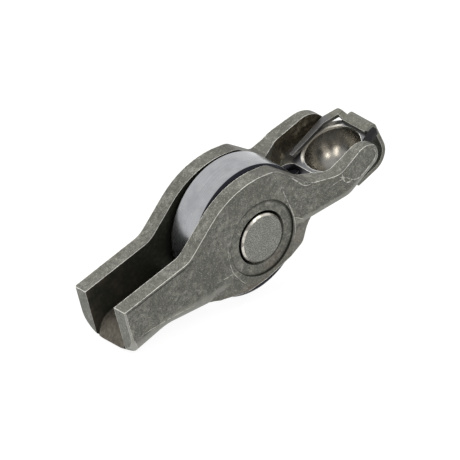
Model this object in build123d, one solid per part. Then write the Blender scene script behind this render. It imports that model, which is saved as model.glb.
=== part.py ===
from build123d import *
from math import asin, atan2, cos, degrees, hypot, radians, sin, sqrt, tan
import os

# Roller finger follower: a pressed steel lever with a needle roller on a riveted pin, a drawn
# ball socket at one end, a crowned valve pad at the other, and a spring clip round the socket.
# Lever frame (mm): the roller axis is the origin, +X runs to the ball socket, +Y across the
# lever, +Z out of the open side of the channel. At the end everything is tipped about the
# roller axis into the attitude in which the lever lies on its roller and its valve end.

# roller bearing
roller_radius = 9.5
roller_width = 5.3
roller_chamfer = 0.45
needle_radius = 0.8
needle_length = 4.9
needle_gap = 0.02
bearing_clearance = 0.03
side_clearance = 0.25

# axle pin, riveted in the walls
pin_radius = 3.6
pin_proud = 0.19
pin_chamfer = 0.35
pin_seat_gap = 0.005
pin_hole_chamfer = 0.3

# channel
wall_thickness = 2.2
bend_radius = 3.0
hump_below_roller = 0.2
hump_crest_x = -0.6
hump_crest_radius = 12.5
ramp_angle = 23.8
hump_fall_angle = 26.0
hump_back_angle = 57.0
hump_back_x = 6.12
roller_reach = 3.5
belly_front_x = 5.4
belly_rear_x = -5.4
belly_rear_depth = 5.45
belly_front_run = 2.1
belly_front_radius = 1.4
belly_rear_run = 3.6
belly_rear_radius = 3.0
belly_blend_radius = 4.0
ramp_foot_radius = 3.5
hump_back_radius = 3.0
neck_rise = 1.3
neck_radius = 2.0

# valve end
valve_end_x = -22.95
valve_wall_height = 7.25
end_face_lean = 8.4
valve_wall_slope = 6.4
valve_underside = 0.9
underside_knee_x = -17.6
underside_fall = 0.35
underside_knee_radius = 8.0
end_bevel = 0.8
end_side_bevel = 0.2
end_bevel_corner = 3.4
valve_web_thickness = 2.85
pad_crown_radius = 3.0
pad_front_fall = 50.0
pad_crest_x = -22.3
pad_crest_rise = 0.17
pad_rear_drop = 0.43
pad_rear_radius = 8.0
pad_rear_x = -17.4
groove_width = 0.45
groove_depth = 0.3
window_rear_x = -10.4
window_rear_z = -1.25
web_rear_depth = 3.75

# coined seat round the pin
coin_margin = 0.46
coin_rise = 0.14
coin_flank_slope = 12.0
bend_fade_x = (-8.3, 8.2)
coin_corner_radius = 0.5
coin_blend_radius = 4.0
coin_flank_radius = 3.0
coin_rear_heights = (0.6, -2.2)
coin_front_heights = (0.8, -2.6)
recess_radius = 5.39
recess_depth = 0.14

# socket end
socket_x = 17.38
platform_z = -1.95
platform_thickness = 2.0
platform_edge_x = 12.8
window_lip_depth = 2.0
window_lip_half_width = 3.5
window_corner_radius = 1.6
socket_radius = 4.03
socket_lip = 0.5
dome_thickness = 1.1
head_half_width = 7.4
head_widest_x = 13.4
head_front_x = 20.65
head_front_half_width = 6.25
head_flare_x = 5.9
head_flare_radius = 6.0
head_bend_radius = 2.0
head_corner_radius = 1.3
head_wall_height = 2.95
head_front_radius = 3.3
head_rear_radius = 6.0
head_swell_radius = 3.5
head_inner_half_width = 5.45
head_inner_flare_x = 8.9
head_inner_front_half_width = 4.95

# retaining clip
clip_thickness = 0.55
clip_half_width = 2.25
clip_front_gap = 0.48
clip_top_bend = 0.65
clip_bottom_bend = 2.8
clip_hook_x = 17.4
clip_seat_gap = 0.02
clip_plate_rear_x = 21.75
clip_leg_rise = 0.35
clip_ramp_width = 0.9
clip_leg_setback = 0.25
clip_leg_width = 0.9
clip_leg_end_x = 13.2
clip_leg_end_half_gap = 3.3
clip_leg_half_gap = 3.75

# worked out from the above
hump_height = roller_radius - hump_below_roller
belly_depth = roller_radius - roller_reach
coin_radius = recess_radius + coin_margin
coin_shoulder_z = 0.74 * coin_radius
channel_half_gap = roller_width / 2 + side_clearance
channel_half_width = channel_half_gap + wall_thickness
needle_circle_radius = pin_radius + bearing_clearance + needle_radius
race_radius = needle_circle_radius + needle_radius + bearing_clearance
needle_pitch_angle = 2 * degrees(asin((needle_radius + needle_gap / 2) / needle_circle_radius))
needle_count = int(360 / needle_pitch_angle)
pin_half_length = channel_half_width + pin_proud
pin_hole_radius = pin_radius + pin_seat_gap
head_top_z = platform_z + head_wall_height
head_bottom_z = platform_z - platform_thickness
dome_radius = socket_radius + dome_thickness
socket_centre_z = platform_z - socket_lip
dome_bottom_z = socket_centre_z - dome_radius
lean_slope = tan(radians(end_face_lean))
valve_bottom_x = valve_end_x - (valve_wall_height + valve_underside) * lean_slope
underside_slope = underside_fall / (underside_knee_x - valve_bottom_x)
front_foot_x = valve_bottom_x + end_bevel / (cos(radians(end_face_lean)) + sin(radians(end_face_lean)))
front_foot_z = -valve_underside - underside_slope * (front_foot_x - valve_bottom_x)
reach = 3 * hypot(valve_bottom_x, valve_wall_height)
overrun = 3.0


def corner_face(corners, plane):
    """A face from corners given as (across, up, radius) in a plane."""
    points = [(across, up) for across, up, _ in corners]
    outline = FilletPolyline(*points, radius=[radius for _, _, radius in corners], close=True)
    return plane * make_face(outline)


def across_lever(corners, half_width):
    """A side view outline in X and Z, taken to half_width each side of the lever's middle."""
    return extrude(corner_face(corners, Plane.XZ), amount=half_width, both=True)


def plan_prism(half_corners, low, high):
    """A plan outline given for +Y as (x, y, radius), mirrored to -Y, between two heights."""
    mirrored = [(x, -y, radius) for x, y, radius in reversed(half_corners)]
    face = corner_face(half_corners + mirrored, Plane.XY.offset(low))
    return extrude(face, amount=high - low)


def turned(half_outline):
    """A body turned about Y from an outline of (radius, y) points on one side of the axis."""
    return revolve(make_face(Polyline(*half_outline, close=True)), Axis.Y)


def side_corners():
    """The lever seen from the side: both walls share this outline."""
    ramp = tan(radians(ramp_angle))
    fall = tan(radians(hump_fall_angle))
    back = tan(radians(hump_back_angle))
    crest_z = hump_height + hump_crest_radius * (1 / cos(radians((ramp_angle + hump_fall_angle) / 2)) - 1)
    back_z = crest_z - fall * (hump_back_x - hump_crest_x)
    slope = tan(radians(valve_wall_slope))
    foot_x = (crest_z - ramp * hump_crest_x - valve_wall_height - slope * valve_end_x) / (-slope - ramp)
    foot_z = crest_z + ramp * (foot_x - hump_crest_x)
    neck_z = head_top_z + neck_rise
    neck_x = hump_back_x + (back_z - neck_z) / back
    return [
        (valve_end_x, valve_wall_height, 0),
        (foot_x, foot_z, ramp_foot_radius),
        (hump_crest_x, crest_z, hump_crest_radius),
        (hump_back_x, back_z, hump_back_radius),
        (neck_x, neck_z, neck_radius),
        (platform_edge_x, head_top_z, head_rear_radius),
        (head_front_x, head_top_z, head_front_radius),
        (head_front_x, head_bottom_z, 0),
        (belly_front_x + belly_front_run, head_bottom_z, bend_radius + 0.4),
        (belly_front_x, -belly_depth - 0.1, belly_front_radius),
        (belly_rear_x + belly_rear_run, -belly_depth - 0.05, belly_blend_radius),
        (belly_rear_x, -belly_rear_depth, belly_rear_radius),
        (window_rear_x + 1.2, -web_rear_depth - 0.05, bend_radius + 0.4),
        (window_rear_x - 0.4, -web_rear_depth, 1.5),
        (underside_knee_x, -valve_underside - underside_fall, underside_knee_radius),
        (valve_bottom_x, -valve_underside, 0),
    ]


def end_bevel_bound():
    """What the bevel round the valve end's face leaves: heavy below, light up the sides."""
    lean = radians(end_face_lean)
    top = Vector(valve_end_x, 0, valve_wall_height)
    end_plane = Plane(origin=top, x_dir=(0, 1, 0), z_dir=(cos(lean), 0, -sin(lean)))
    half = channel_half_width - end_side_bevel
    low = end_bevel - (valve_wall_height + valve_underside) / cos(lean)
    face = corner_face([
        (-half, overrun, 0),
        (-half, low, end_bevel_corner),
        (half, low, end_bevel_corner),
        (half, overrun, 0),
    ], end_plane)
    depth = 2 * end_bevel
    rest = end_plane.offset(depth) * Box(reach, reach, reach, align=(Align.CENTER, Align.CENTER, Align.MIN))
    return extrude(face, amount=depth, taper=-45) + rest


def head_plan():
    """Half the socket end from above: it swells out of the channel and draws in to the front."""
    return [
        (head_flare_x - head_flare_radius / 2, channel_half_width, 0),
        (head_flare_x, channel_half_width, head_flare_radius),
        (head_widest_x, head_half_width + 0.15, head_swell_radius),
        (head_front_x, head_front_half_width, head_corner_radius),
    ]


def cavity():
    """The open channel above the pad and the platform, and the roller window between them."""
    floor_z = valve_web_thickness - valve_underside
    pad_drop = tan(radians(pad_front_fall)) * (overrun + pad_crest_x - valve_bottom_x)
    side = [
        (valve_bottom_x - overrun, reach, 0),
        (valve_bottom_x - overrun, floor_z - pad_drop, 0),
        (pad_crest_x, floor_z + pad_crest_rise, pad_crown_radius),
        (pad_rear_x, floor_z - pad_rear_drop, pad_rear_radius),
        (window_rear_x, window_rear_z, 0),
        (platform_edge_x, platform_z, 0),
        (head_front_x + overrun, platform_z, 0),
        (head_front_x + overrun, reach, 0),
    ]
    flare = (head_inner_half_width - channel_half_gap) / (head_widest_x - 0.5 - head_inner_flare_x)
    draw_in = (head_inner_half_width - head_inner_front_half_width) / (head_front_x - head_widest_x)
    plan = [
        (valve_bottom_x - overrun, channel_half_gap, 0),
        (head_inner_flare_x, channel_half_gap, 3.0),
        (head_widest_x - 0.5, head_inner_half_width, 2.0),
        (head_front_x + overrun, head_inner_front_half_width - overrun * draw_in, 0),
    ]
    window_edge_half_width = channel_half_gap + flare * (platform_edge_x - head_inner_flare_x)
    window = [
        (window_rear_x, channel_half_gap, 0.8),
        (head_inner_flare_x, channel_half_gap, 3.0),
        (platform_edge_x, window_edge_half_width, window_corner_radius),
    ]
    return (across_lever(side, reach) & plan_prism(plan, -reach, reach)) + plan_prism(window, -reach, reach)


def pad_grooves():
    """A relief groove along each edge of the valve pad, where it meets the wall."""
    floor_z = valve_web_thickness - valve_underside - groove_depth
    pad_drop = tan(radians(pad_front_fall)) * (overrun + pad_crest_x - valve_bottom_x)
    side = [
        (valve_bottom_x - overrun, reach, 0),
        (valve_bottom_x - overrun, floor_z - pad_drop, 0),
        (pad_crest_x, floor_z + pad_crest_rise, pad_crown_radius),
        (pad_rear_x, floor_z - pad_rear_drop, pad_rear_radius),
        (window_rear_x + 1, window_rear_z - groove_depth - 0.4, 0),
        (window_rear_x + 1, reach, 0),
    ]
    strip = across_lever(side, groove_width / 2)
    offset = channel_half_gap - groove_width / 2
    return Pos(0, offset, 0) * strip + Pos(0, -offset, 0) * strip


def coined_seat():
    """The flat coined round the pin: square to the belly's edge, and further out towards it."""
    outline = [
        (-coin_shoulder_z, coin_shoulder_z, coin_corner_radius),
        (-coin_radius * 1.03, coin_rear_heights[0], coin_blend_radius),
        (-coin_radius * 1.0, coin_rear_heights[1], coin_flank_radius),
        (-coin_radius * 0.7, -belly_depth - 1.0, 0),
        (coin_radius * 0.34, -belly_depth - 1.0, 0),
        (coin_radius * 0.82, coin_front_heights[1], coin_flank_radius),
        (coin_radius * 0.91, coin_front_heights[0], coin_blend_radius),
        (coin_radius * 0.96, coin_shoulder_z, coin_corner_radius),
        (0, coin_radius * 0.96, coin_blend_radius),
    ]
    top = channel_half_width + coin_rise
    depth = top - channel_half_gap
    face = corner_face(outline, Plane.XZ.offset(top))
    cone = extrude(face, amount=-depth, taper=coin_flank_slope - 90)
    fade = [(x, z, 0) for x, z in [
        (bend_fade_x[0], -reach),
        (bend_fade_x[1], -reach),
        (bend_fade_x[1], coin_radius),
        (bend_fade_x[0], coin_radius),
    ]]
    limit = extrude(corner_face(fade, Plane.XZ.offset(top)), amount=-depth, taper=-45)
    lean = degrees(atan2(coin_rise, 2 * coin_radius))
    size = 4 * coin_radius
    wedge = Pos(0, -channel_half_width, coin_shoulder_z) * Rot(-lean, 0, 0) * Box(
        size, size, 2 * size, align=(Align.CENTER, Align.MIN, Align.CENTER)
    )
    near = cone & limit & wedge & across_lever(side_corners(), reach)
    return near + mirror(near, about=Plane.XZ)


def lever_body():
    """The lever, formed from one blank."""
    side = across_lever(side_corners(), channel_half_width)
    cut_x = head_widest_x
    keep = Box(reach, reach, reach, align=(Align.MAX, Align.CENTER, Align.CENTER))
    channel = side & (Pos(cut_x, 0, 0) * keep)
    bottom = channel.edges().filter_by(
        lambda e: abs(abs(e.center().Y) - channel_half_width) < 0.01 and e.center().Z < 0.5
        and valve_bottom_x + 1 < e.center().X < cut_x - 0.01
    )
    channel = fillet(bottom, bend_radius)
    channel = channel & end_bevel_bound()

    head = plan_prism(head_plan(), head_bottom_z, reach / 4)
    rim = head.edges().filter_by(
        lambda e: abs(e.center().Z - head_bottom_z) < 0.01 and e.center().X > head_flare_x - 1.0
    )
    head = fillet(rim, head_bend_radius)
    head = head & across_lever(side_corners(), reach)

    dome = Pos(socket_x, 0, socket_centre_z) * (
        Sphere(dome_radius)
        & Box(reach, reach, reach, align=(Align.CENTER, Align.CENTER, Align.MAX))
    )
    lip = Pos(socket_x, 0, socket_centre_z) * Cylinder(
        dome_radius, socket_lip, align=(Align.CENTER, Align.CENTER, Align.MIN)
    )
    window_lip = across_lever([
        (platform_edge_x, head_bottom_z + 1.0, 0),
        (platform_edge_x, head_bottom_z - window_lip_depth, 0.4),
        (socket_x, head_bottom_z + 0.2, 0),
        (socket_x, head_bottom_z + 1.0, 0),
    ], window_lip_half_width)
    body = channel + head + dome + lip + window_lip + coined_seat()

    body -= cavity()
    body -= pad_grooves()
    body -= Pos(socket_x, 0, socket_centre_z) * Sphere(socket_radius)
    body -= Pos(socket_x, 0, socket_centre_z) * Cylinder(
        socket_radius, reach, align=(Align.CENTER, Align.CENTER, Align.MIN)
    )
    return body


def pin_cuts(body):
    """The pin hole with its chamfered mouths, and the recess round each mouth."""
    recess_face = channel_half_width - recess_depth
    body -= Rot(90, 0, 0) * Cylinder(pin_hole_radius, reach)
    mouth = [
        (0, recess_face - pin_hole_chamfer),
        (pin_hole_radius, recess_face - pin_hole_chamfer),
        (pin_hole_radius + pin_hole_chamfer, recess_face),
        (recess_radius, recess_face),
        (recess_radius, reach),
        (0, reach),
    ]
    near = turned(mouth)
    return body - near - mirror(near, about=Plane.XZ)


def axle_pin():
    """The pin that carries the needles; its chamfered ends stand just proud of the walls."""
    return turned([
        (0, -pin_half_length),
        (pin_radius - pin_chamfer, -pin_half_length),
        (pin_radius, -pin_half_length + pin_chamfer),
        (pin_radius, pin_half_length - pin_chamfer),
        (pin_radius - pin_chamfer, pin_half_length),
        (0, pin_half_length),
    ])


def roller_ring():
    """The cam roller: a plain ring with chamfered rims and a ground needle race inside."""
    half = roller_width / 2
    return turned([
        (race_radius, -half),
        (roller_radius - roller_chamfer, -half),
        (roller_radius, -half + roller_chamfer),
        (roller_radius, half - roller_chamfer),
        (roller_radius - roller_chamfer, half),
        (race_radius, half),
    ])


def needle(index):
    """One loose needle at its place on the needle circle."""
    half = needle_length / 2
    roller = turned([(0, -half), (needle_radius, -half), (needle_radius, half), (0, half)])
    return Rot(0, index * 360 / needle_count, 0) * Pos(needle_circle_radius, 0, 0) * roller


def retaining_clip():
    """Spring clip: a plate on the nose, a band round it, a hook under the dome and two legs."""
    front_x = socket_x + dome_radius + clip_front_gap + clip_thickness
    plate_low = platform_z
    plate_top = platform_z + clip_thickness
    hook_top = dome_bottom_z - clip_seat_gap
    hook_low = hook_top - clip_thickness
    inner_top_bend = clip_top_bend - clip_thickness
    inner_bottom_bend = clip_bottom_bend - clip_thickness
    strip = across_lever([
        (clip_plate_rear_x - 0.2, plate_top, 0),
        (front_x, plate_top, clip_top_bend),
        (front_x, hook_low, clip_bottom_bend),
        (clip_hook_x, hook_low, 0.15),
        (clip_hook_x, hook_top, 0.15),
        (front_x - clip_thickness, hook_top, inner_bottom_bend),
        (front_x - clip_thickness, plate_low, inner_top_bend),
        (clip_plate_rear_x - 0.2, plate_low, 0),
    ], clip_half_width)

    leg_low = plate_low + clip_leg_rise
    ramp_end = clip_half_width + clip_ramp_width
    ramp_front = front_x - clip_top_bend - clip_leg_setback
    ramp = extrude(
        Plane.YZ.offset(clip_plate_rear_x) * make_face(Polyline(
            (clip_half_width - 0.4, plate_low),
            (clip_half_width, plate_low),
            (ramp_end, leg_low),
            (ramp_end, leg_low + clip_thickness),
            (clip_half_width, plate_top),
            (clip_half_width - 0.4, plate_top),
            close=True,
        )),
        amount=ramp_front - clip_plate_rear_x,
    )
    outer_gap = clip_leg_half_gap + clip_leg_width + 0.15
    leg = extrude(
        corner_face([
            (ramp_front, ramp_end - 0.05, 0),
            (ramp_front, ramp_end + 0.85, 0.5),
            (head_front_x - 0.3, outer_gap, 1.2),
            (socket_x - 0.8, clip_leg_half_gap + 0.6, 3.0),
            (clip_leg_end_x, clip_leg_end_half_gap + 0.55, 0.15),
            (clip_leg_end_x, clip_leg_end_half_gap, 0.15),
            (head_front_x - 1.0, clip_leg_half_gap, 1.5),
            (clip_plate_rear_x, ramp_end - 0.05, 0),
        ], Plane.XY.offset(leg_low)),
        amount=clip_thickness,
    )
    half = ramp + leg
    return strip + half + mirror(half, about=Plane.XZ)


def rest_angle():
    """The tilt at which the roller and the front lower edge of the valve end share one floor."""
    foot_distance = hypot(front_foot_x, front_foot_z)
    return degrees(asin(roller_radius / foot_distance) - atan2(-front_foot_z, -front_foot_x))


body = lever_body()
body = pin_cuts(body)

pieces = {
    "lever_body": body,
    "axle_pin": axle_pin(),
    "roller_ring": roller_ring(),
    "retaining_clip": retaining_clip(),
}
for index in range(needle_count):
    pieces[f"needle_{index + 1:02d}"] = needle(index)

os.makedirs("parts", exist_ok=True)
tilt = rest_angle()
print("needles", needle_count, "rest angle", round(tilt, 2))
for name, piece in pieces.items():
    placed = Rot(0, -tilt, 0) * piece
    export_step(placed, f"parts/{name}.step")
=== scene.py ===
import bpy
import bmesh
import numpy as np
from math import cos, pi, radians, sin
from mathutils import Matrix, Vector


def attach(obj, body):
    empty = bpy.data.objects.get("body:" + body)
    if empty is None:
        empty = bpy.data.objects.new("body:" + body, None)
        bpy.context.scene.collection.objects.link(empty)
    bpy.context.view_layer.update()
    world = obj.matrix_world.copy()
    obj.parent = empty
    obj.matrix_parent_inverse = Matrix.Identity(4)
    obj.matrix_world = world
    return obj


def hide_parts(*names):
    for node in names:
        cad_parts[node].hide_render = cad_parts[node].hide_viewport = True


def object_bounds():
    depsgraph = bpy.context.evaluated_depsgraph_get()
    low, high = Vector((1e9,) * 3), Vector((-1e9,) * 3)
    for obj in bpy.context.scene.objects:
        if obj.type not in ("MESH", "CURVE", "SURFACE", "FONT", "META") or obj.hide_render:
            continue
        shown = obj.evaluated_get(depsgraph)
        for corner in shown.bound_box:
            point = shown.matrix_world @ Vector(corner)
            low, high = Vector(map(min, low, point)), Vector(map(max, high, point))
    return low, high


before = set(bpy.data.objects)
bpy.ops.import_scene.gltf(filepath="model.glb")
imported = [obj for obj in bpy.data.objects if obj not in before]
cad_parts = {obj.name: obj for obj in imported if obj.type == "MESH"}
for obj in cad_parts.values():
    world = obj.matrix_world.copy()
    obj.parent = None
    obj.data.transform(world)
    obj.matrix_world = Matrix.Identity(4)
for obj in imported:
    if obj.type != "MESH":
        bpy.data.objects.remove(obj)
cadLow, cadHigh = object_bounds()
print("frame loaded")

# The lever lies tipped about the roller's axis. Patterns and new shapes are set out in its own
# frame, in millimetres: x towards the ball socket, y across, z out of the open side.
leverTilt = radians(21.59)
millimetresPerMetre = 1000


def toLinear(hexColour):
    channels = [int(hexColour[i:i + 2], 16) / 255 for i in (1, 3, 5)]
    return [c / 12.92 if c < 0.04045 else ((c + 0.055) / 1.055) ** 2.4 for c in channels] + [1.0]


# One node with its settings; an input is a value, or the socket that feeds it.
def addNode(material, kind, inputs=None, **settings):
    tree = material.node_tree
    node = tree.nodes.new(kind)
    for name, value in settings.items():
        setattr(node, name, value)
    for name, value in (inputs or {}).items():
        socket = node.inputs[name]
        if isinstance(value, bpy.types.NodeSocket):
            tree.links.new(value, socket)
        else:
            socket.default_value = value
    return node


def newMaterial(name):
    material = bpy.data.materials.new(name)
    material.use_nodes = True
    material.node_tree.nodes.clear()
    return material


# Object coordinates turned into the lever's own frame, in millimetres.
def leverPlace(material):
    place = addNode(material, "ShaderNodeTexCoord").outputs["Object"]
    return addNode(material, "ShaderNodeMapping", {
        "Vector": place,
        "Rotation": (0, leverTilt, 0),
        "Scale": (millimetresPerMetre,) * 3,
    }).outputs["Vector"]


# The way a face looks, in the lever's own frame.
def leverFacing(material):
    normal = addNode(material, "ShaderNodeNewGeometry").outputs["Normal"]
    turned = addNode(material, "ShaderNodeMapping", {
        "Vector": normal, "Rotation": (0, leverTilt, 0),
    }, vector_type="VECTOR").outputs["Vector"]
    return addNode(material, "ShaderNodeSeparateXYZ", {0: turned}).outputs


# Noise whose spots are about size millimetres across, from 0 to 1.
def grain(material, place, size, detail=2.0, roughness=0.55, offset=0.0):
    shifted = addNode(material, "ShaderNodeVectorMath", {
        0: place, 1: (offset, offset, offset),
    }, operation="ADD")
    return addNode(material, "ShaderNodeTexNoise", {
        "Vector": shifted.outputs[0], "Scale": 1 / size, "Detail": detail, "Roughness": roughness,
    }).outputs[0]


# Maps value from low..high to toLow..toHigh, eased and held at the ends.
def between(material, value, low, high, toLow=0.0, toHigh=1.0):
    return addNode(material, "ShaderNodeMapRange", {
        "Value": value, "From Min": low, "From Max": high, "To Min": toLow, "To Max": toHigh,
    }, interpolation_type="SMOOTHSTEP").outputs[0]


def sums(material, operation, first, second):
    return addNode(material, "ShaderNodeMath", {0: first, 1: second}, operation=operation).outputs[0]


# Where every one of the shares holds.
def allOf(material, first, *others):
    for other in others:
        first = sums(material, "MULTIPLY", first, other)
    return first


# The distance from the pin's axis.
def fromPinAxis(material, x, z):
    squares = sums(material, "ADD", sums(material, "MULTIPLY", x, x), sums(material, "MULTIPLY", z, z))
    return sums(material, "SQRT", squares, 0.0)


# Mixes two colours, each a hex string or a socket, by share.
def mixColour(material, share, first, second):
    first = toLinear(first) if isinstance(first, str) else first
    second = toLinear(second) if isinstance(second, str) else second
    mixed = addNode(material, "ShaderNodeMix", {0: share, 6: first, 7: second}, data_type="RGBA")
    return mixed.outputs[2]


# 1 on convex edges and 0 on flats and in corners: where the rounded normal leaves the face's own,
# and the edge stands clear of other metal.
def wornEdges(material, width, sharpness=0.12):
    rounded = addNode(material, "ShaderNodeBevel", {"Radius": width / millimetresPerMetre}, samples=8)
    face = addNode(material, "ShaderNodeNewGeometry").outputs["Normal"]
    agreement = addNode(material, "ShaderNodeVectorMath", {
        0: rounded.outputs[0], 1: face,
    }, operation="DOT_PRODUCT").outputs["Value"]
    edge = between(material, agreement, 0.99, 1 - sharpness)
    openness = addNode(material, "ShaderNodeAmbientOcclusion", {
        "Distance": 3 * width / millimetresPerMetre,
    }, samples=6)
    clear = between(material, openness.outputs["AO"], 0.62, 0.9)
    return sums(material, "MULTIPLY", edge, clear)


def finishMaterial(material, shader):
    addNode(material, "ShaderNodeOutputMaterial", {"Surface": shader.outputs[0]})
    return material


# A closed outline with each corner turned into a curve: it leaves one side a radius short of
# the corner C at A, joins the next at B, and is (1-t)^2 A + 2t(1-t) C + t^2 B in between.
def roundCorners(corners, radius, steps=6):
    corner = np.array(corners, float)
    back = np.roll(corner, 1, axis=0) - corner
    ahead = np.roll(corner, -1, axis=0) - corner
    start = corner + radius * back / np.linalg.norm(back, axis=1, keepdims=True)
    end = corner + radius * ahead / np.linalg.norm(ahead, axis=1, keepdims=True)
    t = np.linspace(0, 1, steps)[None, :, None]
    curve = (1 - t) ** 2 * start[:, None] + 2 * t * (1 - t) * corner[:, None]
    curve = curve + t ** 2 * end[:, None]
    return curve.reshape(-1, 2)


# From the lever's frame in millimetres to the floor's in metres: a turn by the rest tilt about Y.
def toFloor(points):
    x, y, z = np.moveaxis(points, -1, 0)
    turned = np.stack([
        x * cos(leverTilt) - z * sin(leverTilt), y, x * sin(leverTilt) + z * cos(leverTilt),
    ], axis=-1)
    return turned / millimetresPerMetre


# The same turn back, from the floor's frame in metres to the lever's in millimetres.
def toLeverFrame(points):
    x, y, z = np.moveaxis(points, -1, 0)
    turned = np.stack([
        x * cos(leverTilt) + z * sin(leverTilt), y, z * cos(leverTilt) - x * sin(leverTilt),
    ], axis=-1)
    return turned * millimetresPerMetre


# The faces of a grid of rows by columns, each cell a quad; either way may close on itself.
def gridFaces(rows, columns, closeRows, closeColumns):
    row, column = np.meshgrid(np.arange(rows if closeRows else rows - 1),
                              np.arange(columns if closeColumns else columns - 1), indexing="ij")
    nextRow, nextColumn = (row + 1) % rows, (column + 1) % columns
    return np.stack([
        row * columns + column, row * columns + nextColumn,
        nextRow * columns + nextColumn, nextRow * columns + column,
    ], axis=-1).reshape(-1, 4)


def addPiece(name, mesh):
    piece = bpy.data.objects.new(name, mesh)
    bpy.context.collection.objects.link(piece)
    return piece


# A mesh object at the origin, with its faces turned outwards and shaded smooth up to an angle.
def meshPiece(name, points, faces, smoothUnder=40):
    mesh = bpy.data.meshes.new(name)
    mesh.from_pydata(points.tolist(), [], faces.tolist())
    work = bmesh.new()
    work.from_mesh(mesh)
    bmesh.ops.remove_doubles(work, verts=work.verts, dist=1e-7)
    bmesh.ops.recalc_face_normals(work, faces=work.faces)
    work.to_mesh(mesh)
    work.free()
    mesh.shade_smooth()
    mesh.set_sharp_from_angle(angle=radians(smoothUnder))
    return addPiece(name, mesh)


# A closed outline of (radius, y) turned about the Y axis: x = r cos a, z = r sin a.
def turnedRing(name, outline, segments):
    radius, along = np.array(outline).T
    angle = np.linspace(0, 2 * pi, segments, endpoint=False)
    points = np.stack([
        radius[:, None] * np.cos(angle),
        np.repeat(along[:, None], segments, axis=1),
        radius[:, None] * np.sin(angle),
    ], axis=-1).reshape(-1, 3) / millimetresPerMetre
    return meshPiece(name, points, gridFaces(len(radius), segments, True, True))


# The angle across each edge of a closed mesh, from the normals of the two faces that share it.
def edgeAngles(mesh):
    normals = np.empty(len(mesh.polygons) * 3)
    mesh.polygons.foreach_get("normal", normals)
    corners = np.empty(len(mesh.polygons), int)
    mesh.polygons.foreach_get("loop_total", corners)
    edges = np.empty(len(mesh.loops), int)
    mesh.loops.foreach_get("edge_index", edges)
    face = np.repeat(np.arange(len(corners)), corners)[np.argsort(edges, kind="stable")].reshape(-1, 2)
    pair = normals.reshape(-1, 3)[face]
    return np.degrees(np.arccos(np.clip((pair[:, 0] * pair[:, 1]).sum(axis=1), -1, 1)))


# The middle of each edge, in the lever's frame.
def edgeMiddles(mesh):
    points = np.empty(len(mesh.vertices) * 3)
    mesh.vertices.foreach_get("co", points)
    ends = np.empty(len(mesh.edges) * 2, int)
    mesh.edges.foreach_get("vertices", ends)
    return toLeverFrame(points.reshape(-1, 3)[ends.reshape(-1, 2)].mean(axis=1))


# A CAD node's mesh with its triangles joined, its flats made whole and its sharp edges rounded;
# widthAt gives each edge's rounding from where its middle lies.
def roundedCopy(node, name, finish, widthAt):
    work = bmesh.new()
    work.from_mesh(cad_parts[node].data)
    bmesh.ops.remove_doubles(work, verts=work.verts, dist=2e-6)
    bmesh.ops.dissolve_limit(work, angle_limit=radians(finish["flatTolerance"]),
                             verts=work.verts, edges=work.edges)
    mesh = bpy.data.meshes.new(name)
    work.to_mesh(mesh)
    work.free()
    mesh.shade_smooth()
    mesh.set_sharp_from_angle(angle=radians(finish["roundFromAngle"]))
    width = widthAt(edgeMiddles(mesh))
    weight = np.where(edgeAngles(mesh) > finish["roundFromAngle"], width / width.max(), 0.0)
    mesh.attributes.new("bevel_weight_edge", "FLOAT", "EDGE").data.foreach_set("value", weight)
    piece = addPiece(name, mesh)
    bevel = piece.modifiers.new("wornEdges", "BEVEL")
    bevel.width = float(width.max()) / millimetresPerMetre
    bevel.segments = finish["roundSegments"]
    bevel.limit_method = "WEIGHT"
    bevel.use_clamp_overlap = True
    bevel.miter_outer = "MITER_ARC"
    piece.modifiers.new("flatFaces", "WEIGHTED_NORMAL").keep_sharp = True
    return piece


# A piece of the scene: what it moves with, its finish, and the CAD nodes it stands for.
def dress(piece, body, slot, material, *nodes):
    piece.data.materials.clear()
    piece.data.materials.append(material)
    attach(piece, body)
    if nodes:
        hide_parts(*nodes)


lever = {
    "channelHalfGap": 2.9,
    "channelHalfWidth": 5.1,
    "endFaceX": -19.0,          # the valve end's bevel lies beyond this
    "padFrontX": -13.0,         # the valve pad lies beyond this
    "headX": 7.0,               # the walls swell out to hold the socket from here on
    "windowX": (8.0, 13.0),     # the dark end of the roller's window, beside the platform
    "platformZ": -1.95,
    "platformEdgeX": 12.8,
    "socketX": 17.38,
    "socketRadius": 4.03,
    "recessRadius": 5.39,
    "pinHoleRadius": 3.92,      # with its chamfer
    "edgeRound": 0.13,          # how far the sharp pressed edges are worn round
    "rimRound": 0.32,           # the socket's rim is broken further
    "roundSegments": 3,
    "roundFromAngle": 32,       # edges flatter than this many degrees are left alone
    "flatTolerance": 0.6,       # degrees: facets flatter than this are one face
    # the size of each pattern's spots
    "cloudSize": 3.2,
    "mottleSize": 0.55,
    "gritSize": 0.17,           # drawn coarser than the real marks
    "scuffSize": 1.3,
    "skin": ("#6a6a62", "#84847c"),
    "pits": "#5a5a54",
    "grit": ("#454540", "#b2b1a8"),
    "scuffed": "#a3a299",
    "cutEndLight": "#a2a29c",
    "lowerBendLight": "#97978f",
    "bellyStain": "#6b5c50",
    "humpSlopeShade": "#4a453d",
    "endBevelLight": "#adada6",
    "oilAndShade": ("#3f4038", "#54544b"),
    "oilHaze": "#6b6156",
    "oilSpecks": "#8a8a7e",
    "padFilm": ("#56524a", "#6c665c"),
    "browned": ("#5a5243", "#857a64"),
    "paintedGlints": "#c9bda2",
    "platform": "#606164",
    "rimHighlight": "#f1ece1",
    "windowShade": "#37363c",
    "stepShade": "#2a2a25",
    "pinGap": "#121210",
    "rubbedEdgeHighlight": "#e4e2da",
    "roughness": (0.52, 0.28),  # tumbled, and rubbed or polished
}


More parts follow.
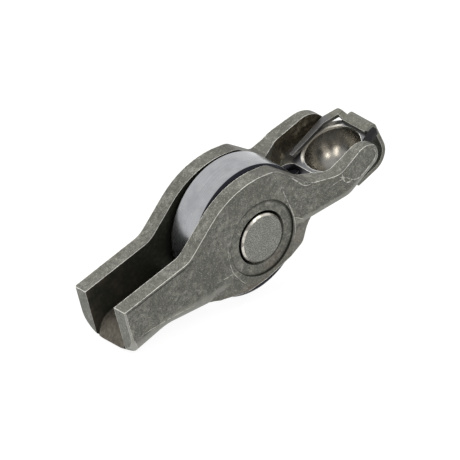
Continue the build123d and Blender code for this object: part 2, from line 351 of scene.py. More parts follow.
# Where a point of the lever lies and which way it faces, and the patterns that its finish uses.
def leverSpots(m):
    place = leverPlace(m)
    x, y, z = addNode(m, "ShaderNodeSeparateXYZ", {0: place}).outputs
    facingX, facingY, facingZ = leverFacing(m)
    return {
        "x": x, "y": y, "z": z,
        "facingX": facingX, "facingY": facingY, "facingZ": facingZ,
        "across": sums(m, "ABSOLUTE", y, 0.0),
        "sideways": sums(m, "ABSOLUTE", facingY, 0.0),
        "fromAxis": fromPinAxis(m, x, z),
        "clouds": grain(m, place, lever["cloudSize"], 3.0),
        "mottle": grain(m, place, lever["mottleSize"], 3.0, 0.65, 7.0),
        "grit": grain(m, place, lever["gritSize"], 2.0, 0.6, 19.0),
        "scuffs": grain(m, place, lever["scuffSize"], 4.0, 0.75, 41.0),
    }


# The tumbled skin, and where it differs: painted light makes the cut ends and lower bends a little
# brighter, the belly keeps a brown stain, painted shade darkens the hump's slope towards the socket,
# and painted light makes the rolled face beside the valve end's cut lighter.
def tumbledSkin(m, spot):
    skin = mixColour(m, between(m, spot["clouds"], 0.35, 0.68), *lever["skin"])
    skin = mixColour(m, between(m, spot["mottle"], 0.3, 0.72), lever["pits"], skin)
    skin = mixColour(m, between(m, spot["grit"], 0.57, 0.72, 0, 0.7), skin, lever["grit"][1])
    skin = mixColour(m, between(m, spot["grit"], 0.42, 0.3, 0, 0.6), skin, lever["grit"][0])
    skin = mixColour(m, between(m, spot["scuffs"], 0.55, 0.68, 0, 0.45), skin, lever["scuffed"])
    # painted light: faces turned towards the valve end are made brighter
    cutEndLight = allOf(m, between(m, spot["facingX"], -0.8, -0.95), 0.1)
    skin = mixColour(m, cutEndLight, skin, lever["cutEndLight"])
    # painted light: the lower bends, facing a little down towards the floor, are made brighter
    lowerBendLight = allOf(m, between(m, spot["facingZ"], -0.03, -0.25),
                      between(m, spot["across"], 3.6, 4.4), 0.6)
    skin = mixColour(m, lowerBendLight, skin, lever["lowerBendLight"])
    stained = allOf(m, between(m, spot["z"], -2.2, -5.0), between(m, spot["clouds"], 0.4, 0.62), 0.35)
    skin = mixColour(m, stained, skin, lever["bellyStain"])
    # painted shade: the hump's slope that faces towards the socket is darkened
    humpSlopeShade = allOf(m, between(m, spot["facingX"], 0.25, 0.5), between(m, spot["z"], 0.5, 1.5), 0.4)
    skin = mixColour(m, humpSlopeShade, skin, lever["humpSlopeShade"])
    # painted light: the rolled face beside the valve end's cut is made lighter
    endBevelLight = allOf(m, between(m, spot["facingX"], -0.25, -0.4),
                     between(m, spot["sideways"], 0.3, 0.45),
                     between(m, spot["x"], lever["endFaceX"], lever["endFaceX"] - 1), 0.5)
    return mixColour(m, endBevelLight, skin, lever["endBevelLight"])


# Inside the channel: old oil and painted shade on the walls, and a browner film on the valve pad.
def channelFinish(m, spot, skin, inside):
    # the channel's dark is old oil and also painted shade in the recess
    oiledAndShaded = mixColour(m, between(m, spot["mottle"], 0.42, 0.75), *lever["oilAndShade"])
    haze = allOf(m, between(m, spot["clouds"], 0.42, 0.6), between(m, spot["x"], -13, -19), 0.5)
    oiledAndShaded = mixColour(m, haze, oiledAndShaded, lever["oilHaze"])
    oiledAndShaded = mixColour(m, between(m, spot["grit"], 0.7, 0.8, 0, 0.5), oiledAndShaded, lever["oilSpecks"])
    padFilm = mixColour(m, between(m, spot["mottle"], 0.35, 0.7), *lever["padFilm"])
    onPad = allOf(m, between(m, spot["facingZ"], 0.4, 0.6),
                  between(m, spot["x"], lever["padFrontX"], lever["padFrontX"] - 1))
    return mixColour(m, inside, skin, mixColour(m, onPad, oiledAndShaded, padFilm))


# Browned inner walls beside the socket.
def innerWallShare(m, spot):
    inwards = sums(m, "MULTIPLY", spot["y"], spot["facingY"])
    return allOf(m, between(m, spot["x"], lever["headX"], lever["headX"] + 1),
                 between(m, inwards, -1.2, -1.8), between(m, spot["z"], 1.0, 0.8))


# The smooth flat platform round the socket.
def platformShare(m, spot):
    top, edge = lever["platformZ"], lever["platformEdgeX"]
    return allOf(m, between(m, spot["facingZ"], 0.7, 0.9), between(m, spot["z"], top + 0.15, top + 0.1),
                 between(m, spot["x"], edge - 0.1, edge))


# The far side of the socket's rim, with a painted highlight.
def rimHighlightShare(m, spot):
    flat = addNode(m, "ShaderNodeCombineXYZ", {0: spot["x"], 1: spot["y"]}).outputs[0]
    fromSocket = addNode(m, "ShaderNodeVectorMath", {
        0: flat, 1: (lever["socketX"], 0, 0),
    }, operation="DISTANCE").outputs["Value"]
    radius = lever["socketRadius"]
    return allOf(m, between(m, fromSocket, radius + 0.45, radius + 0.3), between(m, spot["y"], 1.6, 2.6),
                 between(m, spot["z"], -2.5, -2.4), between(m, spot["z"], -1.7, -1.8))


# Round the socket: browned walls with painted glints, a blued platform with a painted highlight at its
# far corner and on the rim, and a window in painted shade.
def socketFinish(m, spot, skin, innerWall, platform, rim):
    browned = mixColour(m, between(m, spot["mottle"], 0.4, 0.7), *lever["browned"])
    # painted highlight: bright glints spotted over the browned inner walls
    browned = mixColour(m, between(m, spot["scuffs"], 0.56, 0.66, 0, 0.7), browned, lever["paintedGlints"])
    skin = mixColour(m, sums(m, "MULTIPLY", innerWall, 0.85), skin, browned)
    skin = mixColour(m, sums(m, "MULTIPLY", platform, 0.85), skin, lever["platform"])
    # painted highlight on the rim's far side and the platform's far corner
    farCorner = allOf(m, platform, between(m, spot["x"], 17.6, 18.8), between(m, spot["y"], 2.8, 3.6))
    skin = mixColour(m, sums(m, "MAXIMUM", rim, farCorner), skin, lever["rimHighlight"])
    rear, front = lever["windowX"]
    window = allOf(m, between(m, spot["x"], rear, rear + 1), between(m, spot["x"], front + 0.2, front),
                   between(m, spot["across"], 4.6, 4.3))
    sides = allOf(m, between(m, spot["facingZ"], 0.5, 0.3), between(m, spot["z"], -1.9, -2.0))
    deep = allOf(m, between(m, spot["z"], -2.7, -2.8), between(m, spot["z"], -3.92, -3.88))
    return mixColour(m, allOf(m, window, sums(m, "MAXIMUM", sides, deep)), skin, lever["windowShade"])


# Inside the pin's hole, with its chamfer.
def pinGapShare(m, spot):
    radius, wall = lever["pinHoleRadius"], lever["channelHalfGap"]
    return allOf(m, between(m, spot["fromAxis"], radius + 0.03, radius - 0.03),
                 between(m, spot["across"], wall, wall + 0.2))


# Shade gathers in the step round the pin, wider above it on the socket's side, and in its hole.
def pinShade(m, spot, skin, pinGap):
    recess, wall = lever["recessRadius"], lever["channelHalfWidth"]
    outside = allOf(m, between(m, spot["fromAxis"], recess + 0.11, recess + 0.03),
                    between(m, spot["across"], wall - 0.9, wall - 0.7))
    step = allOf(m, outside, between(m, spot["fromAxis"], recess - 0.13, recess - 0.05), 0.7)
    wide = allOf(m, outside, between(m, spot["fromAxis"], recess - 0.49, recess - 0.14),
                 between(m, sums(m, "ADD", spot["x"], spot["z"]), 1.5, 5.0), 0.7)
    skin = mixColour(m, step, skin, lever["stepShade"])
    skin = mixColour(m, wide, skin, lever["stepShade"])
    # height along a line tipped 20 degrees towards the valve end
    upwards = sums(m, "ADD", sums(m, "MULTIPLY", spot["x"], -0.34),
                   sums(m, "MULTIPLY", spot["z"], 0.94))
    shade = sums(m, "MULTIPLY", pinGap, between(m, upwards, -2.2, 0.2, 0.45, 1.0))
    return mixColour(m, shade, skin, lever["pinGap"])


# Outer edges are rubbed bright and given a painted highlight, but less so round the recess, in the
# pin's hole, deep in the channel and where the hump rolls over towards the socket.
def rubbedHighlightShare(m, spot, inside, pinGap):
    recess = lever["recessRadius"]
    nearRing = allOf(m, between(m, spot["fromAxis"], recess - 0.39, recess - 0.24),
                     between(m, spot["fromAxis"], recess + 0.36, recess + 0.21))
    deepInside = allOf(m, inside, between(m, spot["z"], 5.2, 4.6), 0.8)
    rolledOver = allOf(m, between(m, spot["x"], 5.6, 6.6), between(m, spot["x"], 10.0, 9.0),
                       between(m, spot["z"], 0.0, 1.0), 0.75)
    keep = [sums(m, "SUBTRACT", 1.0, share)
            for share in (sums(m, "MAXIMUM", nearRing, deepInside), pinGap, rolledOver)]
    return allOf(m, wornEdges(m, 0.17), between(m, spot["mottle"], 0.28, 0.55, 0.35, 1.0), *keep)


# Case-hardened carbon steel, pressed and then tumbled in grit: a matt grey-green skin, clouded and
# finely speckled, every outer edge rubbed bright with a painted highlight, the channel dark with oil
# and painted shade, the pad browned.
def leverSteel():
    m = newMaterial("tumbledPressedSteel")
    spot = leverSpots(m)
    wall = lever["channelHalfGap"]
    inside = allOf(m, between(m, spot["across"], wall + 0.05, wall + 0.02),
                   between(m, spot["x"], 12.0, 11.0))
    innerWall, platform, rim = innerWallShare(m, spot), platformShare(m, spot), rimHighlightShare(m, spot)
    pinGap = pinGapShare(m, spot)
    skin = channelFinish(m, spot, tumbledSkin(m, spot), inside)
    skin = socketFinish(m, spot, skin, innerWall, platform, rim)
    skin = pinShade(m, spot, skin, pinGap)
    rubbedAndHighlit = rubbedHighlightShare(m, spot, inside, pinGap)
    # outer edges: real rubbing, plus a painted highlight
    colour = mixColour(m, rubbedAndHighlit, skin, lever["rubbedEdgeHighlight"])

    polished = sums(m, "MAXIMUM", platform, sums(m, "MULTIPLY", innerWall, 0.8))
    smooth = sums(m, "MULTIPLY", sums(m, "MAXIMUM", rubbedAndHighlit, polished), sums(m, "SUBTRACT", 1.0, rim))
    rough = between(m, smooth, 0, 1, *lever["roughness"])
    relief = sums(m, "ADD", sums(m, "MULTIPLY", spot["mottle"], 0.6), spot["grit"])
    bump = addNode(m, "ShaderNodeBump", {"Height": relief, "Strength": 0.5, "Distance": 0.00002})
    shader = addNode(m, "ShaderNodeBsdfPrincipled", {
        "Base Color": colour, "Metallic": 0.8, "Roughness": rough, "Normal": bump.outputs[0],
    })
    return finishMaterial(m, shader)


# How far each edge is rounded: the socket's rim more than the rest.
def leverRounding(middles):
    fromSocket = np.hypot(middles[:, 0] - lever["socketX"], middles[:, 1])
    atRadius = np.abs(fromSocket - lever["socketRadius"]) < 0.1
    onRim = atRadius & (np.abs(middles[:, 2] - lever["platformZ"]) < 0.1)
    return np.where(onRim, lever["rimRound"], lever["edgeRound"])


leverPiece = roundedCopy("lever_body", "leverPressing", lever, leverRounding)
dress(leverPiece, "lever", "lever_steel", leverSteel(), "lever_body")
print("lever dressed")

# The socket's polished skin: a shallow cup a hair inside the drawn bowl, closed on its back.
socketSkin = {
    "radiusInside": 4.015, "radiusOutside": 4.06, "centreZ": -2.45, "topFall": 0.36,
    "segments": 160, "rows": 44,
    "metal": ("#7c7b77", "#918f89"), "specks": "#4a4742", "roughness": (0.23, 0.3),
}


# The drawn socket, polished by its punch: brown-grey, smooth enough to show soft lights.
def socketSteel():
    m = newMaterial("polishedSocketSteel")
    place = leverPlace(m)
    clouds = grain(m, place, 1.1, 3.0, 0.6)
    fine = grain(m, place, 0.15, 2.0, 0.6, 5.0)           # drawn coarser than the real marks
    colour = mixColour(m, between(m, clouds, 0.3, 0.7), *socketSkin["metal"])
    colour = mixColour(m, between(m, fine, 0.62, 0.78, 0, 0.35), colour, socketSkin["specks"])
    rough = between(m, clouds, 0.3, 0.7, *socketSkin["roughness"])
    bump = addNode(m, "ShaderNodeBump", {"Height": fine, "Strength": 0.15, "Distance": 0.000005})
    shader = addNode(m, "ShaderNodeBsdfPrincipled", {
        "Base Color": colour, "Metallic": 1.0, "Roughness": rough, "Normal": bump.outputs[0],
    })
    return finishMaterial(m, shader)


# A ball's lower part: radius r cos a at height r sin a, from its open edge down to the pole, on
# the inside and back up on the outside.
def socketCup():
    inner, outer = socketSkin["radiusInside"], socketSkin["radiusOutside"]
    top = lever["platformZ"] - socketSkin["topFall"] - socketSkin["centreZ"]
    down = np.linspace(0.0, 1.0, socketSkin["rows"])
    openAngle = np.arcsin(top / inner)
    lift = openAngle - down * (openAngle + pi / 2) * 0.998
    radius = np.concatenate([inner * np.cos(lift), outer * np.cos(lift[::-1])])
    height = np.concatenate([inner * np.sin(lift), outer * np.sin(lift[::-1])])
    angle = np.linspace(0, 2 * pi, socketSkin["segments"], endpoint=False)
    points = np.stack([
        lever["socketX"] + radius[:, None] * np.cos(angle),
        radius[:, None] * np.sin(angle),
        socketSkin["centreZ"] + np.repeat(height[:, None], len(angle), axis=1),
    ], axis=-1)
    return toFloor(points).reshape(-1, 3), gridFaces(len(radius), len(angle), True, True)


socketPiece = meshPiece("socketSkin", *socketCup())
dress(socketPiece, "lever", "lever_steel", socketSteel())
print("socket polished")

# Two small blocks of metal that close the window's front corners under the platform.
corner = {"rearX": 11.6, "frontX": 12.95, "innerY": 2.5, "outerY": 4.0, "lowZ": -3.85, "highZ": -3.2}


def cornerWebs():
    x = np.array([corner["rearX"], corner["frontX"]])
    z = np.array([corner["lowZ"], corner["highZ"]])
    faces = np.array([
        (0, 1, 3, 2), (4, 6, 7, 5), (0, 4, 5, 1), (2, 3, 7, 6), (0, 2, 6, 4), (1, 5, 7, 3),
    ])
    boxes = []
    for side in (-1, 1):
        y = side * np.array([corner["innerY"], corner["outerY"]])
        boxes.append(np.stack(np.meshgrid(x, y, z, indexing="ij"), axis=-1).reshape(-1, 3))
    return toFloor(np.vstack(boxes)), np.vstack([faces, faces + 8])


cornerPiece = meshPiece("windowCorners", *cornerWebs())
dress(cornerPiece, "lever", "lever_steel", leverPiece.data.materials[0])
print("window corners closed")

# Creases left by the press and the coining punch. Each is a line of (x, z) on the outer face of the
# wall, with its width; it is laid on the lever from the side, and again on the other wall.
crease = {
    "standOff": 9.5,           # the lines start this far out and are laid inwards
    "darkAboveZ": 5.0,         # the hair line below the valve end's top edge is dark
    "thickness": 0.06,
    "step": 0.15,
    "metal": ("#75756e", "#b9b8b0"), "dark": "#30302b", "roughness": 0.42,
    "lines": [
        (0.11, [(-4.7, 4.1), (-5.3, 2.7), (-5.7, 1.5), (-5.95, 0.2), (-6.0, -1.1), (-5.5, -3.0),
                (-4.8, -4.6)]),
        (0.11, [(-6.02, -1.2), (-7.1, -0.95), (-8.2, -0.57)]),
        (0.1, [(-22.75, 6.82), (-20.0, 6.5), (-17.0, 6.17), (-14.0, 5.83), (-12.0, 5.6), (-10.6, 5.72)]),
        (0.12, [(-22.6, 2.15), (-20.5, 1.75), (-18.5, 1.15), (-15.6, 0.2), (-13.0, -0.75)]),
        (0.14, [(5.75, 4.6), (5.68, 3.4), (5.66, 2.0), (5.66, 0.4), (5.5, -1.4), (5.1, -2.7),
                (4.3, -4.1)]),
        (0.11, [(5.52, -1.3), (6.1, -1.9), (6.7, -2.7)]),
        (0.16, [(7.1, 5.1), (7.56, 4.6), (7.85, 3.93), (8.06, 3.41), (8.44, 2.67), (8.85, 2.35),
                (9.3, 2.2)]),
        (0.18, [(19.5, -0.45), (19.8, -1.1), (19.75, -1.75), (19.2, -2.2), (18.2, -2.3), (17.1, -2.35),
                (16.0, -2.25), (15.2, -1.9), (14.4, -1.15), (13.87, -0.27), (13.5, 0.3)]),
        (0.14, [(13.5, 0.85), (13.35, -0.19), (13.45, -0.87)]),
        (0.2, [(13.0, 0.7), (13.4, 0.1), (13.9, -0.2)]),
        (0.2, [(13.4, -0.8), (13.96, -1.19), (14.45, -1.3)]),
        (0.12, [(13.3, 0.0), (12.65, 0.13), (11.96, 0.06), (11.49, 0.0)]),
    ],
}


# The same steel where the press folded it: thin creases, rubbed bright in tumbling with a painted
# highlight, and broken up.
def creaseSteel():
    m = newMaterial("rubbedHighlitCreaseSteel")
    place = leverPlace(m)
    broken = grain(m, place, 0.5, 3.0, 0.6, 3.0)
    # the creases' brightness is partly a painted highlight
    colour = mixColour(m, between(m, broken, 0.36, 0.6), *crease["metal"])
    x, y, z = addNode(m, "ShaderNodeSeparateXYZ", {0: place}).outputs
    # painted shade: the hair line below the valve end's top edge is darkened as its groove's shade
    above = crease["darkAboveZ"]
    dark = allOf(m, between(m, x, -9, -10), between(m, z, above, above + 0.2))
    colour = mixColour(m, dark, colour, crease["dark"])
    shader = addNode(m, "ShaderNodeBsdfPrincipled", {
        "Base Color": colour, "Metallic": 0.8, "Roughness": crease["roughness"],
    })
    return finishMaterial(m, shader)


# A line through the given points, resampled evenly: cubic Hermite pieces with Catmull-Rom slopes,
# p = (2t^3-3t^2+1) a + (t^3-2t^2+t) a' + (3t^2-2t^3) b + (t^3-t^2) b'.
def smoothLine(corners, step):
    point = np.array(corners, float)
    slope = np.gradient(point, axis=0)
    t = np.linspace(0, 1, 12, endpoint=False)[None, :, None]
    a, b, da, db = point[:-1, None], point[1:, None], slope[:-1, None], slope[1:, None]
    curve = (2 * t**3 - 3 * t**2 + 1) * a + (t**3 - 2 * t**2 + t) * da
    curve = curve + (3 * t**2 - 2 * t**3) * b + (t**3 - t**2) * db
    curve = np.vstack([curve.reshape(-1, 2), point[-1:]])
    run = np.concatenate([[0], np.cumsum(np.linalg.norm(np.diff(curve, axis=0), axis=1))])
    even = np.linspace(0, run[-1], max(4, int(run[-1] / step)))
    return np.stack([np.interp(even, run, curve[:, 0]), np.interp(even, run, curve[:, 1])], axis=-1)


# A flat ribbon along the line, drawn in to nothing much at its ends.
def ribbon(width, corners, side):
    line = smoothLine(corners, crease["step"])
    along = np.gradient(line, axis=0)
    along /= np.linalg.norm(along, axis=1, keepdims=True)
    across = np.stack([-along[:, 1], along[:, 0]], axis=-1)
    share = np.linspace(0, 1, len(line))
    half = width / 2 * np.clip(5 * np.minimum(share, 1 - share), 0.25, 1.0)
    offset = np.linspace(-1, 1, 3)
    spot = line[:, None] + across[:, None] * (half[:, None] * offset)[..., None]
    standOff = np.full(spot.shape[:2], side * crease["standOff"])
    points = np.stack([spot[..., 0], standOff, spot[..., 1]], axis=-1)
    return toFloor(points).reshape(-1, 3), gridFaces(len(line), len(offset), False, False)


def creaseMesh():
    points, faces, count = [], [], 0
    for side in (-1, 1):
        for width, corners in crease["lines"]:
            spots, cells = ribbon(width, corners, side)
            points.append(spots)
            faces.append(cells + count)
            count += len(spots)
    return np.vstack(points), np.vstack(faces)


creasePiece = meshPiece("pressCreases", *creaseMesh())
laid = creasePiece.modifiers.new("laidOnLever", "SHRINKWRAP")
laid.wrap_method = "PROJECT"
laid.target = leverPiece
laid.use_project_y = True
laid.use_positive_direction = True
laid.use_negative_direction = True
thickened = creasePiece.modifiers.new("thickness", "SOLIDIFY")
thickened.thickness = crease["thickness"] / millimetresPerMetre
thickened.offset = 0.0
dress(creasePiece, "lever", "lever_steel", creaseSteel())
print("creases laid")

roller = {
    "radius": 9.5, "halfWidth": 2.65, "chamfer": 0.45, "raceRadius": 5.26, "round": 0.12,
    "segments": 256,
    "track": ("#aaacaf", "#b5b6b8"), "clouded": "#94969a", "specks": "#b4b4b4",
    "paintedDarkReflection": "#25262c", "roughness": (0.23, 0.29),
}


# Through-hardened bearing steel, ground and run on its track: even satin, its sides a painted dark
# reflection.
def rollerSteel():
    m = newMaterial("groundBearingSteel")
    place = leverPlace(m)
    y = addNode(m, "ShaderNodeSeparateXYZ", {0: place}).outputs[1]
    across = sums(m, "ABSOLUTE", y, 0.0)
    lines = addNode(m, "ShaderNodeMapping", {"Vector": place, "Scale": (0.15, 9.0, 0.15)}).outputs[0]
    around = grain(m, lines, 1.0, 2.0)
    clouds = grain(m, place, 2.2, 3.0, 0.6, 3.0)
    fine = grain(m, place, 0.16, 2.0, 0.6, 9.0)           # drawn coarser than the real marks
    colour = mixColour(m, between(m, around, 0.3, 0.7), *roller["track"])
    colour = mixColour(m, between(m, clouds, 0.38, 0.7, 0, 0.5), colour, roller["clouded"])
    colour = mixColour(m, between(m, fine, 0.6, 0.75, 0, 0.25), colour, roller["specks"])
    # painted reflection: the sides and chamfers are darkened as they would mirror dark surroundings
    sideFrom = roller["halfWidth"] - roller["chamfer"]
    onSide = between(m, across, sideFrom - 0.02, sideFrom + 0.06)
    colour = mixColour(m, onSide, colour, roller["paintedDarkReflection"])
    rough = between(m, clouds, 0.3, 0.7, *roller["roughness"])
    rough = sums(m, "ADD", rough, sums(m, "MULTIPLY", onSide, 0.1))
    bump = addNode(m, "ShaderNodeBump", {"Height": around, "Strength": 0.25, "Distance": 0.000004})
    shader = addNode(m, "ShaderNodeBsdfPrincipled", {
        "Base Color": colour, "Metallic": 0.92, "Roughness": rough, "Normal": bump.outputs[0],
    })
    return finishMaterial(m, shader)


# The ring's section: the race, the sides, and the chamfers up to the track.
def rollerOutline():
    half, chamfer = roller["halfWidth"], roller["chamfer"]
    race, track = roller["raceRadius"], roller["radius"]
    return roundCorners([
        (race, -half), (track - chamfer, -half), (track, -half + chamfer),
        (track, half - chamfer), (track - chamfer, half), (race, half),
    ], roller["round"])


rollerPiece = turnedRing("camRoller", rollerOutline(), roller["segments"])
dress(rollerPiece, "cam_roller", "roller_steel", rollerSteel(), "roller_ring")
print("roller turned")

clip = {
    "edgeRound": 0.06, "roundSegments": 2, "roundFromAngle": 35, "flatTolerance": 0.5,
    "sheet": ("#57574f", "#72726a"), "grit": "#a09f97", "band": "#96968f",
    "farLeg": "#5c5c5e", "nearLegShade": "#161618", "rubbedEdgeHighlight": "#cfcec8", "roughness": (0.4, 0.5),
}


# Spring steel sheet, blanked and bent: grey like the lever on top, its far leg darker, its near leg
# in painted shade, and its edges rubbed bright with a painted highlight.
def clipSteel():
    m = newMaterial("springSheetSteel")
    place = leverPlace(m)
    x, y, z = addNode(m, "ShaderNodeSeparateXYZ", {0: place}).outputs
    clouds = grain(m, place, 0.9, 3.0)
    grit = grain(m, place, 0.17, 2.0, 0.5, 11.0)          # drawn coarser than the real marks
    skin = mixColour(m, between(m, clouds, 0.3, 0.7), *clip["sheet"])
    skin = mixColour(m, between(m, grit, 0.58, 0.73, 0, 0.6), skin, clip["grit"])
    band = between(m, x, 23.3, 23.7)
    skin = mixColour(m, sums(m, "MULTIPLY", band, 0.6), skin, clip["band"])
    farLeg = allOf(m, between(m, y, 3.1, 3.3), between(m, x, 21.2, 20.4))
    skin = mixColour(m, sums(m, "MULTIPLY", farLeg, 0.85), skin, clip["farLeg"])
    # painted shade: the near leg is made near black
    skin = mixColour(m, between(m, y, -2.95, -3.15), skin, clip["nearLegShade"])
    # edges: real rubbing, plus a painted highlight
    wornAndHighlit = allOf(m, wornEdges(m, 0.1), between(m, clouds, 0.3, 0.6, 0.5, 1.0),
                 between(m, y, -3.2, -2.9))
    colour = mixColour(m, wornAndHighlit, skin, clip["rubbedEdgeHighlight"])
    rough = between(m, clouds, 0.3, 0.7, *clip["roughness"])
    bump = addNode(m, "ShaderNodeBump", {"Height": grit, "Strength": 0.4, "Distance": 0.00001})
    shader = addNode(m, "ShaderNodeBsdfPrincipled", {
        "Base Color": colour, "Metallic": 0.85, "Roughness": rough, "Normal": bump.outputs[0],
    })
    return finishMaterial(m, shader)


def clipRounding(middles):
    return np.full(len(middles), clip["edgeRound"])


clipPiece = roundedCopy("retaining_clip", "springClip", clip, clipRounding)
dress(clipPiece, "lever", "clip_steel", clipSteel(), "retaining_clip")
print("clip dressed")

pin = {
    "radius": 3.6, "chamfer": 0.35,
    "face": ("#5f5f59", "#9d9d97"), "clouded": "#62625c",
    "burnished": ("#8f8b84", "#d2cec5"), "shadedEdge": "#1b1b19", "roughness": (0.48, 0.2),
}


# Hardened bearing pin, cropped and upset in the wall: fine matt ends with a burnished chamfer.
def pinSteel():
    m = newMaterial("upsetPinSteel")
    place = leverPlace(m)
    x, y, z = addNode(m, "ShaderNodeSeparateXYZ", {0: place}).outputs
    fromAxis = fromPinAxis(m, x, z)
    grit = grain(m, place, 0.16, 2.0)                     # drawn coarser than the real marks
    clouds = grain(m, place, 1.2, 2.0, 0.5, 5.0)
    skin = mixColour(m, between(m, grit, 0.34, 0.66), *pin["face"])
    skin = mixColour(m, between(m, clouds, 0.35, 0.7, 0, 0.3), skin, pin["clouded"])
    chamferFrom = pin["radius"] - pin["chamfer"]
    burnished = between(m, fromAxis, chamferFrom - 0.02, chamferFrom + 0.05)
    dents = grain(m, place, 0.9, 2.0, 0.5, 2.0)
    polish = mixColour(m, between(m, dents, 0.4, 0.55), *pin["burnished"])
    colour = mixColour(m, burnished, skin, polish)
    shaded = between(m, fromAxis, pin["radius"] - 0.13, pin["radius"] - 0.06)
    colour = mixColour(m, shaded, colour, pin["shadedEdge"])
    rough = between(m, burnished, 0, 1, *pin["roughness"])
    relief = sums(m, "MULTIPLY", grit, sums(m, "SUBTRACT", 1.0, burnished))
    bump = addNode(m, "ShaderNodeBump", {"Height": relief, "Strength": 0.5, "Distance": 0.00001})
    shader = addNode(m, "ShaderNodeBsdfPrincipled", {
        "Base Color": colour, "Metallic": 0.92, "Roughness": rough, "Normal": bump.outputs[0],
    })
    return finishMaterial(m, shader)


needle = {"metal": ("#b9babd", "#cfd0d2"), "roughness": 0.18}


# Bearing needles, centreless ground and lapped: bright, with the faintest lines round them.
def needleSteel():
    m = newMaterial("lappedNeedleSteel")
    place = leverPlace(m)
    around = addNode(m, "ShaderNodeMapping", {"Vector": place, "Scale": (0.3, 14.0, 0.3)}).outputs[0]
    lines = grain(m, around, 1.0)
    colour = mixColour(m, between(m, lines, 0.3, 0.7), *needle["metal"])
    shader = addNode(m, "ShaderNodeBsdfPrincipled", {
        "Base Color": colour, "Metallic": 1.0, "Roughness": needle["roughness"],
    })
    return finishMaterial(m, shader)


pinFinish = pinSteel()
needleFinish = needleSteel()
for name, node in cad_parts.items():
    if name.startswith("needle") or name == "axle_pin":
        node.data.materials.clear()
        node.data.materials.append(needleFinish if name.startswith("needle") else pinFinish)
print("pin and needles dressed")

studio = {
    "floorSize": 1.6,
    "paper": "#e9e9e8", "paperShade": "#7c7c7c", "paperGlow": 0.92,
    "worldColour": "#f4f5f6", "worldStrength": 0.55,
    # each lamp: azimuth and elevation it stands at (degrees), distance, width, height, power, warmth
    "lamps": {
        "keySoftbox": (-95, 50, 0.45, 0.30, 0.30, 0.75, "#ffffff"),
        "frontSoftbox": (26, 50, 0.50, 0.34, 0.20, 0.45, "#fffdf8"),
        "backSoftbox": (150, 55, 0.50, 0.30, 0.30, 0.4, "#ffffff"),
    },
    # narrow lights that only show in the polished socket
    "stripLamps": {
        "leftStrip": (-5, 21, 0.40, 0.05, 0.42, 0.85, "#fff4e8"),
        "rightStrip": (-50, 19, 0.40, 0.06, 0.42, 0.6, "#fff4e8"),
    },
}


# What the camera, a mirror or glass looks at directly.
def seenDirectly(material):
    rays = addNode(material, "ShaderNodeLightPath").outputs
    seen = sums(material, "MAXIMUM", rays["Is Camera Ray"], rays["Is Glossy Ray"])
    return sums(material, "MAXIMUM", seen, rays["Is Transmission Ray"])


# Matt white studio paper. What looks at it directly sees it near white, with a soft shadow.
def floorPaper():
    m = newMaterial("mattStudioPaper")
    plain = addNode(m, "ShaderNodeBsdfDiffuse", {"Color": toLinear(studio["paper"])})
    shade = addNode(m, "ShaderNodeBsdfDiffuse", {"Color": toLinear(studio["paperShade"])})
    glow = addNode(m, "ShaderNodeEmission", {"Color": (1, 1, 1, 1), "Strength": studio["paperGlow"]})
    lit = addNode(m, "ShaderNodeAddShader", {0: shade.outputs[0], 1: glow.outputs[0]})
    shader = addNode(m, "ShaderNodeMixShader", {
        0: seenDirectly(m), 1: plain.outputs[0], 2: lit.outputs[0],
    })
    return finishMaterial(m, shader)


def layFloor():
    mesh = bpy.data.meshes.new("studioFloor")
    side = studio["floorSize"] / 2
    corners = [(x, y, cadLow.z) for x, y in ((-side, -side), (side, -side), (side, side), (-side, side))]
    mesh.from_pydata(corners, [], [(0, 1, 2, 3)])
    mesh.materials.append(floorPaper())
    return addPiece("studioFloor", mesh)


# A soft even light from all round, which is plain white where it is looked at directly.
def softWorld():
    world = bpy.data.worlds.new("softStudio")
    world.use_nodes = True
    world.node_tree.nodes.clear()
    lighting = addNode(world, "ShaderNodeBackground", {
        "Color": toLinear(studio["worldColour"]), "Strength": studio["worldStrength"],
    })
    backdrop = addNode(world, "ShaderNodeBackground", {"Color": (1, 1, 1, 1), "Strength": 1.0})
    mixed = addNode(world, "ShaderNodeMixShader", {
        0: seenDirectly(world), 1: lighting.outputs[0], 2: backdrop.outputs[0],
    })
    addNode(world, "ShaderNodeOutputWorld", {"Surface": mixed.outputs[0]})
    return world


# The direction towards an azimuth (0 is along -Y, 90 along +X) and an elevation.
def fromAngles(azimuth, elevation):
    a, e = radians(azimuth), radians(elevation)
    return Vector((sin(a) * cos(e), -cos(a) * cos(e), sin(e)))


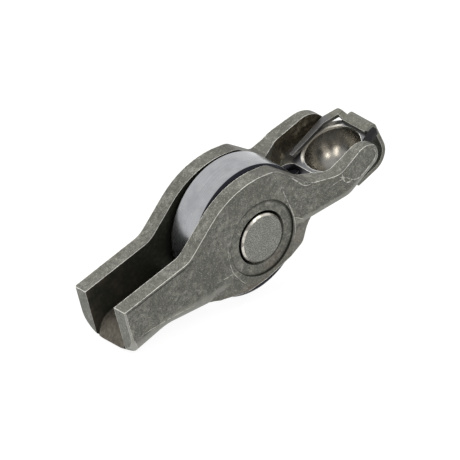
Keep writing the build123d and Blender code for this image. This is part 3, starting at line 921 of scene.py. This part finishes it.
def addLamp(name, azimuth, elevation, distance, width, height, power, warmth):
    lamp = bpy.data.lights.new(name, "AREA")
    lamp.shape = "RECTANGLE"
    lamp.size, lamp.size_y = width, height
    lamp.energy = power
    lamp.color = toLinear(warmth)[:3]
    away = fromAngles(azimuth, elevation)
    stand = bpy.data.objects.new(name, lamp)
    stand.location = away * distance
    stand.rotation_euler = away.to_track_quat("Z", "Y").to_euler()
    bpy.context.collection.objects.link(stand)
    return stand


floor = layFloor()
bpy.context.scene.world = softWorld()

# The rolling track and the socket's skin are not lit by the softboxes, so that they stay even.
allButBright = bpy.data.collections.new("allButBright")
for piece in (rollerPiece, socketPiece):
    allButBright.objects.link(piece)
for held in allButBright.collection_objects:
    held.light_linking.link_state = "EXCLUDE"
for name, values in studio["lamps"].items():
    addLamp(name, *values).light_linking.receiver_collection = allButBright
onlySocket = bpy.data.collections.new("onlySocket")
onlySocket.objects.link(socketPiece)
for name, values in studio["stripLamps"].items():
    strip = addLamp(name, *values)
    strip.light_linking.receiver_collection = onlySocket
    strip.light_linking.blocker_collection = onlySocket

# The view: an orthographic camera, aimed so that the roller's centre stands at the set pixel.
view = {
    "azimuth": -39.2, "elevation": 30.16, "roll": 2.85,
    "imageSide": 460, "pixelsPerMillimetre": 7.576, "centrePixel": (236.87, 224.19), "distance": 0.4,
}


# Looking back along the view's angles: right and up are level with the floor and then rolled.
def placeCamera():
    back = fromAngles(view["azimuth"], view["elevation"])
    azimuth = radians(view["azimuth"])
    flat = Vector((cos(azimuth), sin(azimuth), 0))
    upright = back.cross(flat)
    roll = radians(view["roll"])
    right = flat * cos(roll) - upright * sin(roll)
    up = flat * sin(roll) + upright * cos(roll)
    middle, perMetre = view["imageSide"] / 2, millimetresPerMetre * view["pixelsPerMillimetre"]
    offX = (view["centrePixel"][0] - middle) / perMetre
    offY = (middle - view["centrePixel"][1]) / perMetre
    data = bpy.data.cameras.new("camera")
    data.type = "ORTHO"
    data.ortho_scale = view["imageSide"] / perMetre
    camera = bpy.data.objects.new("camera", data)
    turn = Matrix((right, up, back)).transposed().to_4x4()
    camera.matrix_world = Matrix.Translation(back * view["distance"] - right * offX - up * offY) @ turn
    bpy.context.collection.objects.link(camera)
    bpy.context.scene.camera = camera


placeCamera()
bpy.context.scene.view_settings.view_transform = "Standard"
print("studio set")
